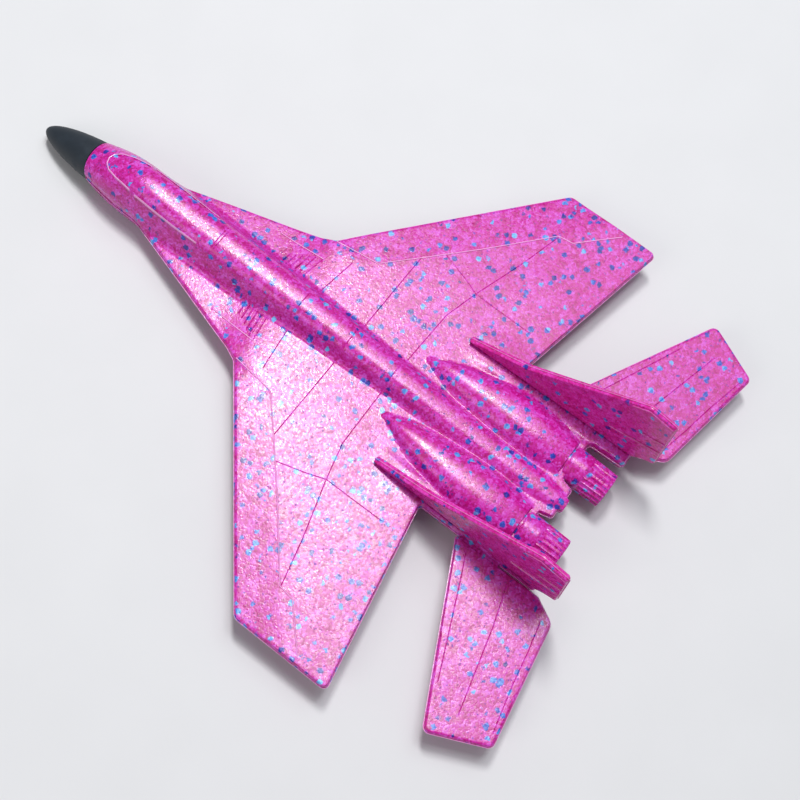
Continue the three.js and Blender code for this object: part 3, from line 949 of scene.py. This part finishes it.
def airframe():
    piece = slab(
        "foam_airframe", frame_outline, airframe_top, airframe_bottom,
        top_lines, [], body_zone, foam,
    )
    ahead_low, ahead_high = (-CUT_REACH, -CUT_REACH, -CUT_REACH), (CUT_REACH, 0, CUT_REACH)
    cutters = [block(ahead_low, ahead_high, nose_placement(NOSE_FACE_TILT))]
    cutters += slot_cutters(1) + slot_cutters(-1)
    combine(piece, cutters, "DIFFERENCE")
    combine(piece, [spigot(), nozzle(1), nozzle(-1)], "UNION")
    shade(piece)
    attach(piece, "airframe")
    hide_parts("airframe")
    return piece


# ------------------------------------------------------------------ fins and stabilizers

def fin(side, word):
    """A fin, drawn lying on its side and then stood up on its boom."""
    outline = inset(rounded_outline(FIN_OUTLINE, OUTLINE_STEP), FLASH)
    ribs = [(densify(line, OUTLINE_STEP), RIDGE) for line in FIN_RIBS]

    def face(points):
        fall = edge_fall(points, outline, FIN_EDGE_ROUND)
        thinning = 0.4 * smoothstep(points[:, 1], 20, 66)
        skin = FLASH_HALF + (FIN_HALF - thinning + 0.6 * waves(points) - FLASH_HALF) * fall
        return skin + relief(points, ribs) * fall

    def far_face(points):
        return -face(points)

    piece = slab(f"foam_fin_{word}", outline, face, far_face, ribs, ribs, no_zone, fin_shade_foam)
    stand = Matrix(((0, 0, 1, 0), (1, 0, 0, 0), (0, 1, 0, 0), (0, 0, 0, 1)))
    place(piece, stand)
    tabs = []
    for start, end in FIN_TABS:
        low = (-FIN_TAB_HALF, start, FIN_FOOT - FIN_TAB_DEPTH)
        tabs.append(block(low, (FIN_TAB_HALF, end, FIN_FOOT + TAB_OVERLAP)))
    combine(piece, tabs, "UNION")
    place(piece, millimetre_matrix(fin_placement(side)))
    shade(piece)
    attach(piece, f"fin_{word}")
    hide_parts(f"fin_{word}")
    return piece


def stabilizer(side, word):
    """A stabilizer, drawn in place, with the tongue that plugs into its boom."""
    corners = [[side * x, y, radius] for x, y, radius in STAB_OUTLINE]
    outline = inset(rounded_outline(corners, OUTLINE_STEP), FLASH)
    here = [np.array(line, float) * [side, 1] for line in STAB_LINES]
    lines = [(densify(line, OUTLINE_STEP), GROOVE) for line in here]

    def thickness(points):
        fall = edge_fall(points, outline, EDGE_ROUND)
        half = STAB_HALF - 0.4 * smoothstep(np.abs(points[:, 0]), 60, 150)
        return FLASH_HALF + (half - FLASH_HALF) * fall

    def upper(points):
        return STAB_Z + thickness(points) + waves(points) + relief(points, lines)

    def lower(points):
        return STAB_Z - thickness(points) + waves(points)

    piece = slab(f"foam_stabilizer_{word}", outline, upper, lower, lines, [], no_zone, foam)
    low = (side * (BOOM_OUT - STAB_TONGUE_DEPTH), STAB_TONGUE[0], STAB_Z - STAB_TONGUE_HALF)
    high = (side * (BOOM_OUT + TONGUE_OVERLAP), STAB_TONGUE[1], STAB_Z + STAB_TONGUE_HALF)
    combine(piece, [block(low, high)], "UNION")
    shade(piece)
    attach(piece, f"stabilizer_{word}")
    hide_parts(f"stabilizer_{word}")
    return piece


# ------------------------------------------------------------------ nose

def nose_cone():
    """An ogive cap with a stepped socket. Its open end is parallel to the foam's tilted face."""
    steps = 40
    profile = []
    for i in range(steps, -1, -1):
        along = math.sin(i / steps * math.pi / 2)
        radius = 0 if i == steps else NOSE_RADIUS * math.sqrt(1 - along ** NOSE_POWER)
        profile.append((radius, -NOSE_LENGTH * along))
    skirt = 5.0
    socket = SPIGOT_RADIUS + SOCKET_GAP
    socket_end = -SPIGOT_LENGTH - SOCKET_GAP
    pocket_end = socket_end - WEIGHT_POCKET_LENGTH
    profile += [(NOSE_RADIUS + 0.02, skirt * 0.5), (NOSE_RADIUS, skirt), (socket, skirt)]
    profile += [(socket, socket_end), (WEIGHT_POCKET_RADIUS, socket_end)]
    profile += [(WEIGHT_POCKET_RADIUS, pocket_end), (0, pocket_end)]
    piece = turned("rubber_nose_cone", profile, 96, rubber)
    place(piece, millimetre_matrix(nose_placement(NOSE_DROOP)))
    low, high = (-CUT_REACH, -SOCKET_GAP, -CUT_REACH), (CUT_REACH, CUT_REACH, CUT_REACH)
    combine(piece, [block(low, high, nose_placement(NOSE_FACE_TILT))], "DIFFERENCE")
    shade(piece)
    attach(piece, "nose")
    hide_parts("nose_cone")
    return piece


# ------------------------------------------------------------------ the glider

airframe()
for side, word in ((1, "left"), (-1, "right")):
    fin(side, word)
    stabilizer(side, word)
nose_cone()
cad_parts["nose_weight"].data.materials.clear()
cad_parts["nose_weight"].data.materials.append(steel)

# ------------------------------------------------------------------ floor, lights and camera


def floor():
    half = 8.0
    mesh = bpy.data.meshes.new("floor")
    corners = [(-half, -half, 0), (half, -half, 0), (half, half, 0), (-half, half, 0)]
    mesh.from_pydata(corners, [], [(0, 1, 2, 3)])
    plane = bpy.data.objects.new("floor", mesh)
    bpy.context.scene.collection.objects.link(plane)
    plane.data.materials.append(pale_floor())


def area_light(name, place_m, size_m, power, colour):
    """An oval light aimed at the origin."""
    light = bpy.data.lights.new(name, "AREA")
    light.shape = "ELLIPSE"
    light.size, light.size_y = size_m
    light.energy = power
    light.color = colour
    lamp = bpy.data.objects.new(name, light)
    bpy.context.scene.collection.objects.link(lamp)
    lamp.location = place_m
    lamp.rotation_euler = (-Vector(place_m)).to_track_quat("-Z", "Y").to_euler()


def camera():
    """The photo's viewpoint, solved from the corners of the glider's outline."""
    data = bpy.data.cameras.new("camera")
    data.lens = 67.5
    data.clip_start = 0.05
    viewer = bpy.data.objects.new("camera", data)
    bpy.context.scene.collection.objects.link(viewer)
    viewer.location = (0.3060, 0.1477, 0.8517)
    viewer.rotation_euler = Euler([math.radians(angle) for angle in (19.224, -7.261, 126.547)])
    bpy.context.scene.camera = viewer


floor()
camera()
area_light("sky", (-1.05, 0.15, 2.1), (1.1, 1.1), 7, (0.86, 0.92, 1.0))
area_light("window", (-0.36, 0.08, 2.2), (0.46, 0.8), 15, (0.92, 0.94, 1.0))
area_light("lamp", (-0.59, -0.48, 2.2), (0.34, 0.62), 30, (0.97, 0.97, 1.0))
area_light("side_fill", (1.6, -0.5, 1.4), (1.2, 1.2), 8, (1.0, 0.95, 0.96))
world = bpy.data.worlds.new("soft_room")
world.use_nodes = True
world.node_tree.nodes["Background"].inputs["Color"].default_value = (0.90, 0.93, 1.0, 1)
world.node_tree.nodes["Background"].inputs["Strength"].default_value = 0.25
bpy.context.scene.world = world
bpy.context.scene.view_settings.view_transform = "Standard"
